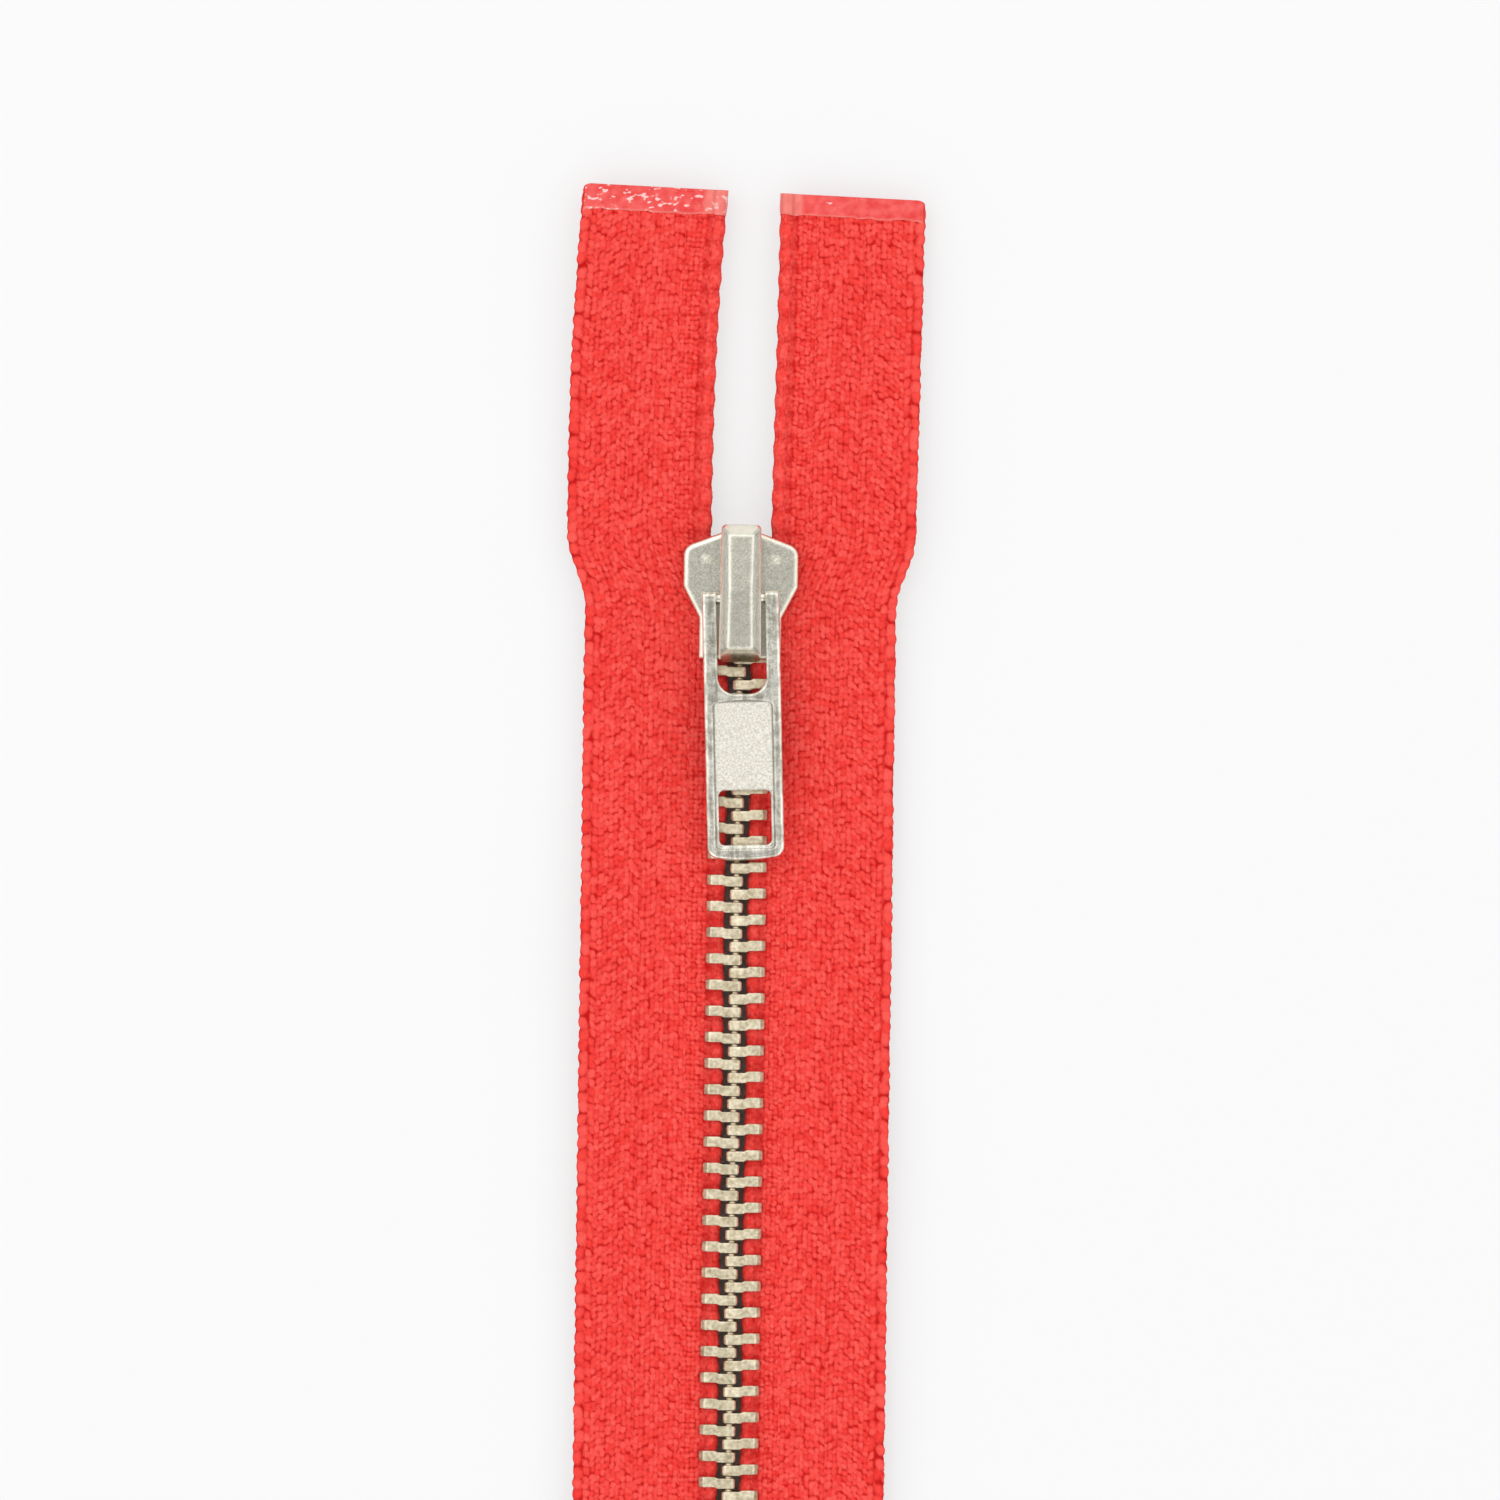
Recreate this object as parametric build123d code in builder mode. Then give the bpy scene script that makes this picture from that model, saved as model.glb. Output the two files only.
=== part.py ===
from build123d import *

import math
import os

# A separating zipper with metal teeth, closed and lying flat. +Y runs up the chain from the retainer box to
# the slider, +Z is the face with the pull tab, and the origin is the middle of the retainer box's bottom
# end, on the tape's mid plane. All lengths are millimetres. "side" is +1 for the right half and -1 for the
# left half.

# ---- Chain and tape ----
pitch = 2.54  # from one tooth to the next on the same tape
teeth_per_side = 50
first_tooth = 17.71  # height of the lowest tooth, which is on the right tape
closed_edge = 1.02  # from the chain's centre line to each tape's inner edge when closed
tape_width = 14.1
tape_half = 0.28  # half of the tape's thickness
bead_radius = 0.75  # the woven tube along the tape's inner edge
cord_radius = 0.48
bore_radius = 0.50
guide_line = 8.4  # woven line that marks the sewing margin, from the tape's inner edge
guide_width = 0.16
guide_depth = 0.04
tape_bottom = 0.9
tape_cut = 182.4  # where the slanted cut at the tape's top crosses the centre line
cut_slant = 2.2  # degrees
film_inset = 0.06  # the tape is pressed thinner under its films
film_thick = 0.08
top_film_height = 2.6
end_film_height = 13.5

# ---- Teeth ----
tooth_reach = 0.64  # how far a head passes the centre line
leg_end = 2.90
tooth_low, tooth_high = -0.49, 0.49
head_drop = 0.07  # the head sits this much lower than the legs
tooth_half = 1.35  # half of the chain's thickness
fit_gap = 0.03  # between the metal and the bead
tape_gap = 0.02  # between the metal and the tape's flat faces

# ---- Slider, with its own height zero at the lower end of its plates ----
slider_y = 137.0
slider_length = 12.5
plate_top = 2.45
channel_half = 1.5
slot_half = 0.45
mouth_edge = 2.86  # where the slider's mouth holds each tape's inner edge
bend_start, bend_end, bend_reach = 4.5, 12.5, 3.6
waist_half, wing_half = 4.0, 5.57
flange_wall = 0.85
cover_low, cover_high = -0.3, 13.0
cover_top = 5.9
cover_bevel = 0.96
cavity_half = 1.25
cavity_top = 5.3
pawl_pivot_y, pawl_pivot_z, pawl_pivot_radius = 11.0, 4.1, 0.35
claw_x, claw_y, claw_tip = 0.93, 1.4, 1.12
claw_length = 0.7
arm_bottom, arm_top = 4.25, 4.65

# ---- Pull tab, measured from its bar ----
bar_y, bar_z, bar_radius = 5.9, 3.55, 0.55
tab_tilt, tab_skew = 2.6, 2.0  # degrees: nose down onto the chain, and swung sideways in its play
tab_half_width, tab_half_thick = 3.75, 0.65
tab_length = 25.4
tab_head = 0.6

# ---- Bottom end ----
box_width, box_height, box_half = 7.6, 8.4, 1.68
box_floor = 0.8
pin_inner, pin_outer, pin_half = 0.35, 2.75, 1.05
pin_top = 15.5
pin_play = 0.08

# ---- Top stops ----
stop_low, stop_length, stop_half = 144.5, 3.4, 1.25

# The free ends above the slider drift: outward shifts of the three curve points, for the left and the right.
free_drift = {-1: (0.05, -0.3, -1.5), 1: (0.12, 0.5, 0.4)}
overrun = 186.0  # tapes are drawn to here, then cut


def across_chain(y):
    """A plane square to the chain at the height y, looking up the chain."""
    return Plane(origin=(0, y, 0), x_dir=(1, 0, 0), z_dir=(0, 1, 0))


def slider_plane(z):
    """A horizontal plane at height z, whose origin is the slider's lower end."""
    return Plane(origin=(0, slider_y, z))


def slider_side_plane():
    """The slider's mid plane, where a sketch's x runs up the chain and its y is height."""
    return Plane(origin=(0, slider_y, 0), x_dir=(0, 1, 0), z_dir=(1, 0, 0))


def tape_line(side, out):
    """A line along one tape, `out` outside its inner edge: straight, spread by the slider, then free."""
    low_x = side * (closed_edge + out)
    high_x = side * (mouth_edge + out)
    start, end = slider_y + bend_start, slider_y + bend_end
    third = (overrun - end) / 3
    first, second, last = (high_x + side * drift for drift in free_drift[side])
    with BuildLine() as line:
        Line((low_x, tape_bottom), (low_x, start))
        Bezier((low_x, start), (low_x, start + bend_reach), (high_x, end - bend_reach), (high_x, end))
        Bezier((high_x, end), (first, end + third), (second, end + 2 * third), (last, overrun))
    return line.wire()


def strip(side, inner, outer, z):
    """A sketch of the tape between two distances from its inner edge, at height z."""
    near, far = tape_line(side, inner), tape_line(side, outer)
    with BuildSketch(Plane.XY.offset(z)) as sketch:
        with BuildLine():
            add(near)
            add(far)
            Line(near @ 0, far @ 0)
            Line(near @ 1, far @ 1)
        make_face()
    return sketch.sketch


def cut_plane(below=0.0):
    """The slanted cut across both tape tops, or a plane parallel to it and lower."""
    slant = math.radians(cut_slant)
    up_the_tape = (math.sin(slant), math.cos(slant), 0)
    return Plane(origin=(0, tape_cut - below, 0), x_dir=(0, 0, 1), z_dir=up_the_tape)


def along_bead(side, radius):
    """A round cord that follows the middle of the tape's bead."""
    centre = tape_line(side, bead_radius)
    with BuildPart() as cord:
        with BuildSketch(Plane(origin=centre @ 0, z_dir=(0, 1, 0))):
            Circle(radius)
        sweep(path=centre)
    return cord.part


def film_sheets(side, inner, bottom, top, notch=None):
    """Two thin sheets, one on each face of the tape, between two planes across the tape."""
    level = tape_half - film_inset
    with BuildPart() as sheets:
        add(extrude(strip(side, inner, tape_width, level), film_thick))
        add(extrude(strip(side, inner, tape_width, -level - film_thick), film_thick))
        split(bisect_by=bottom, keep=Keep.TOP)
        split(bisect_by=top, keep=Keep.BOTTOM)
        if notch:
            with Locations((0, notch[1] / 2, 0)):
                Box(2 * notch[0], notch[1], 2, mode=Mode.SUBTRACT)
    return sheets.part


def top_film(side):
    inner = 2 * bead_radius + 0.1
    return film_sheets(side, inner, cut_plane(top_film_height), cut_plane())


def end_film(side):
    inner = leg_end + 0.05 - closed_edge
    bottom = Plane(origin=(0, tape_bottom, 0), x_dir=(0, 0, 1), z_dir=(0, 1, 0))
    top = Plane(origin=(0, end_film_height, 0), x_dir=(0, 0, 1), z_dir=(0, 1, 0))
    return film_sheets(side, inner, bottom, top, notch=(box_width / 2 + 0.15, box_height + 0.2))


def tape(side):
    """Woven tape: a flat strip with a hollow bead on its inner edge, pressed thinner under the films."""
    with BuildPart() as woven:
        add(extrude(strip(side, bead_radius, tape_width, -tape_half), 2 * tape_half))
        add(along_bead(side, bead_radius))
        add(along_bead(side, bore_radius), mode=Mode.SUBTRACT)
        for z in (tape_half - guide_depth, -tape_half - guide_depth):
            line = strip(side, guide_line, guide_line + guide_width, z)
            add(extrude(line, 2 * guide_depth), mode=Mode.SUBTRACT)
        split(bisect_by=cut_plane(), keep=Keep.BOTTOM)
        add(top_film(side), mode=Mode.SUBTRACT)
        add(end_film(side), mode=Mode.SUBTRACT)
    return woven.part


def cord(side):
    with BuildPart() as core:
        add(along_bead(side, cord_radius))
        split(bisect_by=cut_plane(0.1), keep=Keep.BOTTOM)
    return core.part


def bead_room(gap=fit_gap):
    """Cuts room for the bead and the tape out of the open XZ sketch."""
    with Locations((closed_edge + bead_radius, 0)):
        Circle(bead_radius + gap, mode=Mode.SUBTRACT)
    with Locations((closed_edge + bead_radius + 2, 0)):
        Rectangle(4, 2 * (tape_half + tape_gap), mode=Mode.SUBTRACT)


def clip_section(inner, outer, half, corner):
    """Adds to the open XZ sketch the block that a metal clip or sleeve is made from."""
    with Locations(((inner + outer) / 2, 0)):
        RectangleRounded(outer - inner, 2 * half, corner)


def tooth():
    """One right-hand tooth at height zero on a straight closed chain."""
    head_low, head_high = tooth_low - head_drop, tooth_high - head_drop
    leg_low, leg_high = tooth_low + head_drop, tooth_high + head_drop
    shoulder, neck = 1.35, 1.05
    crown_x, flat_from, flat_to = -0.38, 0.8, 2.45
    tip_half, crown_half, foot_half = 1.05, 1.26, 0.95
    nub_width, nub_breadth, nub_height = 0.8, 2.36, 0.42
    dimple_width, dimple_breadth, dimple_depth = 0.96, 2.32, 0.22
    end_round, edge_round, taper = 0.18, 0.2, 20
    with BuildPart() as one:
        with BuildSketch(Plane.XY.offset(-tooth_half)):
            with BuildLine():
                Polyline(
                    (-tooth_reach, head_low),
                    (neck, head_low),
                    (shoulder, leg_low),
                    (leg_end, leg_low),
                    (leg_end, leg_high),
                    (shoulder, leg_high),
                    (neck, head_high),
                    (-tooth_reach, head_high),
                    close=True,
                )
            plan = make_face()
            ends = plan.vertices().group_by(Axis.X)
            fillet(ends[0] + ends[-1], end_round)
        extrude(amount=2 * tooth_half)
        # Seen along the chain: a sloping head, a level middle, and a foot that closes on the tape.
        with BuildSketch(Plane.XZ) as section:
            upper = (
                (-tooth_reach, tip_half),
                (crown_x, crown_half),
                (flat_from, tooth_half),
                (flat_to, tooth_half),
                (leg_end, foot_half),
            )
            with BuildLine():
                Polyline(*upper, *((x, -z) for x, z in reversed(upper)), close=True)
            make_face()
            fillet(section.vertices(), edge_round)
            bead_room()
        extrude(amount=pitch, both=True, mode=Mode.INTERSECT)
        # The nub tapers, so that its narrower end has play in the next head's dimple.
        with BuildSketch(across_chain(head_high)):
            RectangleRounded(nub_width, nub_breadth, 0.3)
        extrude(amount=nub_height, taper=taper)
        with BuildSketch(across_chain(head_low)):
            RectangleRounded(dimple_width, dimple_breadth, 0.35)
        extrude(amount=dimple_depth, taper=taper, mode=Mode.SUBTRACT)
    return one.part


def on_tape(side, height, solid):
    """Moves a solid made for the closed right half to a height on one tape, turned to follow the tape."""
    edge = tape_line(side, 0)
    travelled = height - tape_bottom
    place = edge.position_at(travelled, position_mode=PositionMode.LENGTH)
    way = edge.tangent_at(travelled, position_mode=PositionMode.LENGTH)
    turn = math.degrees(math.atan2(-way.X, way.Y))
    piece = solid if side > 0 else solid.mirror(Plane.YZ)
    at_edge = piece.moved(Location((-side * closed_edge, 0, 0)))
    return at_edge.moved(Location((place.X, place.Y, 0), (0, 0, turn)))


def teeth(side):
    """One tape's row of teeth, each its own solid. The left row stands half a pitch higher."""
    one = tooth()
    lowest = first_tooth if side > 0 else first_tooth + pitch / 2
    with BuildPart() as row:
        add([on_tape(side, lowest + k * pitch, one) for k in range(teeth_per_side)])
    return row.part


def top_stop(side):
    """A clip bent round the bead, just above the last tooth."""
    with BuildPart() as clip:
        with BuildSketch(Plane.XZ):
            clip_section(closed_edge - 0.35, leg_end - 0.15, stop_half, 0.35)
            bead_room(0.12)
        extrude(amount=stop_length / 2, both=True)
    return on_tape(side, stop_low + stop_length / 2, clip.part)


def pin(side, bottom):
    """A metal sleeve round the bead at the tape's bottom end, narrowed at its lower tip."""
    tip, corner = 1.2, 0.4
    with BuildPart() as sleeve:
        with BuildSketch(across_chain(bottom)):
            clip_section(pin_inner, pin_outer, pin_half, corner)
            bead_room()
        extrude(amount=pin_top - bottom)
        with BuildSketch(Plane.XY.offset(-2)):
            Polygon(
                (pin_inner - 0.1, bottom),
                (pin_inner - 0.1, bottom + tip),
                (pin_inner + 0.2, bottom),
                align=None,
            )
        extrude(amount=4, mode=Mode.SUBTRACT)
    return sleeve.part if side > 0 else sleeve.part.mirror(Plane.YZ)


def retainer_box():
    """The cast box that holds the retaining pin and takes the insertion pin."""
    groove_width, groove_depth, groove_inset = 0.5, 0.15, 1.1
    low_groove, high_groove = 2.6, 5.6
    with BuildPart() as box:
        with BuildSketch(across_chain(0)):
            RectangleRounded(box_width, 2 * box_half, 0.7)
        extrude(amount=box_height)
        rims = box.faces().sort_by(Axis.Y)
        fillet(rims[-1].edges(), 0.35)
        fillet(rims[0].edges(), 0.25)
        with BuildSketch(across_chain(box_floor)):
            for side in (-1, 1):
                with Locations((side * (pin_inner + pin_outer) / 2, 0)):
                    Rectangle(pin_outer - pin_inner + 2 * pin_play, 2 * (pin_half + pin_play))
            Rectangle(box_width + 2, 2 * slot_half)
        extrude(amount=box_height, mode=Mode.SUBTRACT)
        # The wall between the two pins comes back after the slot for the tapes.
        with Locations((0, (box_floor + box_height) / 2, 0)):
            Box(2 * (pin_inner - pin_play), box_height - box_floor, 2 * (pin_half + pin_play))
        # Two shallow grooves across each face are the only decoration.
        for z in (-box_half, box_half):
            with Locations((0, low_groove, z), (0, high_groove, z)):
                Box(box_width - 2 * groove_inset, groove_width, 2 * groove_depth, mode=Mode.SUBTRACT)
    return box.part


def wing_plan(z):
    """The slider plates' outline at height z: a waist, then wings that narrow to the mouth."""
    waist_end, wing_start, wing_end, mouth_flat = 4.0, 7.0, 10.85, 1.2
    half = (
        (waist_half, 0),
        (waist_half, waist_end),
        (wing_half, wing_start),
        (wing_half, wing_end),
        (mouth_flat, slider_length),
    )
    with BuildSketch(slider_plane(z)) as plan:
        with BuildLine():
            Polyline(*half, *((-x, y) for x, y in reversed(half)), close=True)
        make_face()
        wing_tips = plan.vertices().filter_by(lambda v: abs(v.X) > 5)
        elbows, shoulders = wing_tips.group_by(Axis.Y)
        waist = plan.vertices().filter_by(lambda v: abs(v.X) < 5 and 3 < v.Y - slider_y < 5)
        tail = plan.vertices().filter_by(lambda v: abs(v.Y - slider_y) < 0.1)
        fillet(shoulders, 1.25)
        fillet(elbows, 0.6)
        fillet(waist, 2.4)
        fillet(tail, 0.4)
    return plan.sketch


def slider_body():
    """One casting: two winged plates, flanges, the post that divides the mouth, and the cover's posts."""
    mouth_half = wing_half - flange_wall
    throat_half = waist_half - 0.92
    throat_end, mouth_start = 3.9, 6.9
    nose_tip, nose_base, nose_half = 7.3, 11.4, 1.05
    rooted = 0.3  # how deep a post starts inside the plate
    post_length, lug_x, lug_y, lug_height = 1.6, 1.02, 3.4, 0.9
    window_width, window_length = 0.7, 1.5
    pip_x, pip_y, pip_radius, pip_height = 3.4, 9.6, 0.28, 0.08
    with BuildPart() as body:
        add(extrude(wing_plan(-plate_top), 2 * plate_top))
        outer = body.faces().filter_by(Axis.Z)
        fillet(outer.edges(), 0.35)
        with BuildSketch(slider_plane(-channel_half)):
            half = (
                (throat_half, -1),
                (throat_half, throat_end),
                (mouth_half, mouth_start),
                (mouth_half, slider_length + 1),
            )
            with BuildLine():
                Polyline(*half, *((-x, y) for x, y in reversed(half)), close=True)
            make_face()
        extrude(amount=2 * channel_half, mode=Mode.SUBTRACT)
        # The slot for the tapes runs right through.
        with BuildSketch(slider_plane(-slot_half)):
            Rectangle(3 * wing_half, 3 * slider_length)
        extrude(amount=2 * slot_half, mode=Mode.SUBTRACT)
        with BuildSketch(slider_plane(-channel_half - 0.2)):
            with BuildLine():
                Bezier((0, nose_tip), (0.5, 8.8), (nose_half, 10.2), (nose_half, nose_base))
                ThreePointArc((nose_half, nose_base), (0, 12.3), (-nose_half, nose_base))
                Bezier((-nose_half, nose_base), (-nose_half, 10.2), (-0.5, 8.8), (0, nose_tip))
            make_face()
        extrude(amount=2 * (channel_half + 0.2))
        # Front post with a half-round seat for the pawl, and two low lugs, all inside the cover.
        with BuildSketch(slider_plane(plate_top - rooted)):
            with Locations((0, pawl_pivot_y)):
                Rectangle(2 * (cavity_half - 0.05), post_length)
        extrude(amount=pawl_pivot_z - plate_top + rooted - 0.02)
        with BuildSketch(slider_side_plane()):
            with Locations((pawl_pivot_y, pawl_pivot_z)):
                Circle(pawl_pivot_radius + 0.03)
        extrude(amount=2, both=True, mode=Mode.SUBTRACT)
        with BuildSketch(slider_plane(plate_top - rooted)):
            with Locations((lug_x, lug_y), (-lug_x, lug_y)):
                Rectangle(0.36, 1.0)
        extrude(amount=rooted + lug_height)
        # Window that lets the claw reach the teeth.
        with BuildSketch(slider_plane(channel_half - 0.1)):
            with Locations((claw_x, claw_y)):
                Rectangle(window_width, window_length)
        extrude(amount=plate_top - channel_half + 0.2, mode=Mode.SUBTRACT)
        # Small casting pips on the wings.
        with BuildSketch(slider_plane(plate_top - 0.1)):
            with Locations((pip_x, pip_y), (-pip_x, pip_y)):
                Circle(pip_radius)
        extrude(amount=0.1 + pip_height)
    return body.part


def slider_cover():
    """The raised cover over the pawl: a bevelled hollow beam, notched so that the tab's bar can turn."""
    rear_half, front_half = 2.05, 1.92
    rear_rim, front_rim = 3.9, 4.7  # heights of the upright ends
    ridge_from, ridge_middle, ridge_to, ridge_sag = 1.0, 6.5, 12.0, 0.1
    notch_width, notch_high = 1.3, 1.5
    with BuildPart() as cover:
        with BuildSketch(slider_plane(plate_top)):
            with BuildLine():
                Polyline(
                    (rear_half, cover_low),
                    (front_half, cover_high),
                    (-front_half, cover_high),
                    (-rear_half, cover_low),
                    close=True,
                )
            face = make_face()
            fillet(face.vertices(), 0.5)
        extrude(amount=cover_top - plate_top)
        # Crosswise: upright walls, a bevel on each side, and a flat top.
        with BuildSketch(Plane(origin=(0, slider_y - 1, 0), x_dir=(1, 0, 0), z_dir=(0, -1, 0))):
            with BuildLine():
                Polyline(
                    (-rear_half, plate_top),
                    (-rear_half, cover_top - cover_bevel),
                    (cover_bevel - rear_half, cover_top),
                    (rear_half - cover_bevel, cover_top),
                    (rear_half, cover_top - cover_bevel),
                    (rear_half, plate_top),
                    close=True,
                )
            section = make_face()
            fillet(section.vertices().filter_by(lambda v: v.Z > plate_top + 0.1), 0.55)
        extrude(amount=-cover_high - 2, mode=Mode.INTERSECT)
        # Lengthwise: a long slope at the rear, a level ridge, and a short slope at the front.
        with BuildSketch(slider_side_plane()):
            with BuildLine():
                Polyline(
                    (cover_low, plate_top),
                    (cover_low, rear_rim),
                    (ridge_from, cover_top - ridge_sag),
                    (ridge_middle, cover_top),
                    (ridge_to, cover_top - ridge_sag),
                    (cover_high, front_rim),
                    (cover_high, plate_top),
                    close=True,
                )
            profile = make_face()
            fillet(profile.vertices().filter_by(lambda v: rear_rim - 0.1 < v.Z < front_rim + 0.1), 0.4)
            fillet(profile.vertices().filter_by(lambda v: v.Z > front_rim + 0.1), 1.3)
        extrude(amount=3, both=True, mode=Mode.INTERSECT)
        # The hollow is long at the arm's height, and a little shorter above it for the spring.
        for low, high, roof in ((0.8, 11.9, arm_top + 0.05), (0.95, 11.35, cavity_top)):
            with BuildSketch(slider_plane(plate_top)):
                with Locations((0, (low + high) / 2)):
                    Rectangle(2 * cavity_half, high - low)
            extrude(amount=roof - plate_top, mode=Mode.SUBTRACT)
        # The notch for the bar is open below, and round above.
        with BuildSketch(slider_side_plane()):
            with Locations((bar_y, bar_z - 0.05)):
                SlotOverall(notch_high, notch_width, rotation=90)
            with Locations((bar_y, plate_top)):
                Rectangle(notch_width, 2.2)
        extrude(amount=3, both=True, mode=Mode.SUBTRACT)
    return cover.part


def locking_pawl():
    """A rocking arm: a round pivot on the front post, a straight arm over the bar, and a claw at the tail."""
    arm_half, claw_width, arm_overhang = 0.7, 0.42, 0.3
    neck_width = claw_x + claw_width / 2
    with BuildPart() as pawl:
        with BuildSketch(slider_side_plane()):
            with Locations((pawl_pivot_y, pawl_pivot_z)):
                Circle(pawl_pivot_radius)
            with Locations(((claw_y + pawl_pivot_y) / 2, (arm_bottom + arm_top) / 2)):
                Rectangle(pawl_pivot_y - claw_y + 2 * arm_overhang, arm_top - arm_bottom)
        extrude(amount=arm_half, both=True)
        with BuildSketch(slider_plane(claw_tip)):
            with Locations((claw_x, claw_y)):
                Rectangle(claw_width, claw_length)
        extrude(amount=arm_top - claw_tip)
        # A short neck joins the claw to the arm.
        with BuildSketch(slider_plane(arm_bottom)):
            with Locations((neck_width / 2, claw_y)):
                Rectangle(neck_width, claw_length)
        extrude(amount=arm_top - arm_bottom)
    return pawl.part


def pawl_spring():
    """A leaf bowed between the pawl and the cover's roof."""
    leaf, bow, leaf_half = 0.14, 0.4, 0.65
    rear, front, foot = 2.0, 10.4, 4.7
    with BuildPart() as spring:
        with BuildSketch(slider_side_plane()):
            with BuildLine():
                middle = (rear + front) / 2
                low = ThreePointArc((rear, foot), (middle, foot + bow), (front, foot))
                high = ThreePointArc((rear, foot + leaf), (middle, foot + bow + leaf), (front, foot + leaf))
                Line(low @ 0, high @ 0)
                Line(low @ 1, high @ 1)
            make_face()
        extrude(amount=leaf_half, both=True)
    return spring.part


def pull_tab_plane():
    """The tab's mid plane at rest. Its x is the bar's axis, and the tab runs towards its -y."""
    tilt, skew = math.radians(tab_tilt), math.radians(tab_skew)
    normal = (math.sin(skew) * math.sin(tilt), -math.cos(skew) * math.sin(tilt), math.cos(tilt))
    return Plane(
        origin=(0, slider_y + bar_y, bar_z),
        x_dir=(math.cos(skew), math.sin(skew), 0),
        z_dir=normal,
    )


def pull_tab():
    """A cast tab: two rails round the cover, a sunk panel, and an open window at the end."""
    rail_inner = 2.38
    fork_end = -9.3
    panel_half, panel_top, panel_end = 2.9, -9.85, -24.3
    window_half, window_top, window_end = 2.55, -18.6, -23.95
    sink = 0.28
    sag, arch = 0.4, 0.3  # how far the rounded end and the panel's top bow out
    with BuildPart() as tab:
        with BuildSketch(Plane.XY.offset(-tab_half_thick)):
            with BuildLine():
                Polyline(
                    (-tab_half_width, sag - tab_length),
                    (-tab_half_width, tab_head),
                    (tab_half_width, tab_head),
                    (tab_half_width, sag - tab_length),
                )
                ThreePointArc(
                    (-tab_half_width, sag - tab_length),
                    (0, -tab_length),
                    (tab_half_width, sag - tab_length),
                )
            outline = make_face()
            tail, head = outline.vertices().group_by(Axis.Y)
            fillet(tail, 1.1)
            fillet(head, 0.4)
        extrude(amount=2 * tab_half_thick)
        outer = tab.faces().filter_by(Axis.Z)
        fillet(outer.edges(), 0.28)
        with BuildSketch(Plane.XY.offset(-1)):
            with Locations((0, (1 + fork_end) / 2)):
                fork = Rectangle(2 * rail_inner, 1 - fork_end)
            fillet(fork.vertices().group_by(Axis.Y)[0], 1.7)
        extrude(amount=2, mode=Mode.SUBTRACT)
        for z, depth in ((tab_half_thick, -sink), (-tab_half_thick, sink)):
            with BuildSketch(Plane.XY.offset(z)):
                with BuildLine():
                    Polyline(
                        (-panel_half, panel_top - arch),
                        (-panel_half, panel_end),
                        (panel_half, panel_end),
                        (panel_half, panel_top - arch),
                    )
                    ThreePointArc(
                        (-panel_half, panel_top - arch),
                        (0, panel_top),
                        (panel_half, panel_top - arch),
                    )
                panel = make_face()
                fillet(panel.vertices(), 0.5)
            extrude(amount=depth, mode=Mode.SUBTRACT)
        with BuildSketch(Plane.XY.offset(-1)):
            with Locations((0, (window_top + window_end) / 2)):
                RectangleRounded(2 * window_half, window_top - window_end, 0.6)
        extrude(amount=2, mode=Mode.SUBTRACT)
        with BuildSketch(Plane.YZ):
            Circle(bar_radius)
        extrude(amount=rail_inner + 0.3, both=True)
    return tab.part.moved(pull_tab_plane().location)


pieces = {
    "retainer_box": retainer_box(),
    "retaining_pin": pin(-1, box_floor + 0.02),
    "insertion_pin": pin(1, box_floor + 0.15),
    "slider_body": slider_body(),
    "slider_cover": slider_cover(),
    "locking_pawl": locking_pawl(),
    "pawl_spring": pawl_spring(),
    "pull_tab": pull_tab(),
}
for name, side in (("left", -1), ("right", 1)):
    pieces[f"{name}_tape"] = tape(side)
    pieces[f"{name}_cord"] = cord(side)
    pieces[f"{name}_teeth"] = teeth(side)
    pieces[f"{name}_top_stop"] = top_stop(side)
    pieces[f"{name}_top_film"] = top_film(side)
    pieces[f"{name}_end_film"] = end_film(side)

os.makedirs("parts", exist_ok=True)
for name, piece in pieces.items():
    piece.label = name
    export_step(piece, f"parts/{name}.step")
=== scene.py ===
import math

import bpy
import numpy as np
from mathutils import Matrix, Vector


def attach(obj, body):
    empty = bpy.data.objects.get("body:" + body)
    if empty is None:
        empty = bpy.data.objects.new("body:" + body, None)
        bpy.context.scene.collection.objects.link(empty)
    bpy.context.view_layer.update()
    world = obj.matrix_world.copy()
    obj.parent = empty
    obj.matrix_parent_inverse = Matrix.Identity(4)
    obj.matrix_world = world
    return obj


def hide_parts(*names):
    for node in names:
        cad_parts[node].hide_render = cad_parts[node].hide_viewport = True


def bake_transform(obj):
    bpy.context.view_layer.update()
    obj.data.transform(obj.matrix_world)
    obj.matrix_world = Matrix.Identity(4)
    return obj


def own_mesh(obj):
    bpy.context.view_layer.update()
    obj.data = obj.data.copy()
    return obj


# A closed separating zipper. The metal parts are the CAD's own. The woven tapes, cords and films are built
# here as dense sheets whose weave is real relief. Lengths are in millimetres until a mesh is made.
# "side" is -1 for the left half and 1 for the right half. "out" is the distance from a tape's inner edge,
# and "edge" is the distance from its outer edge.

MM = 0.001

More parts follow.
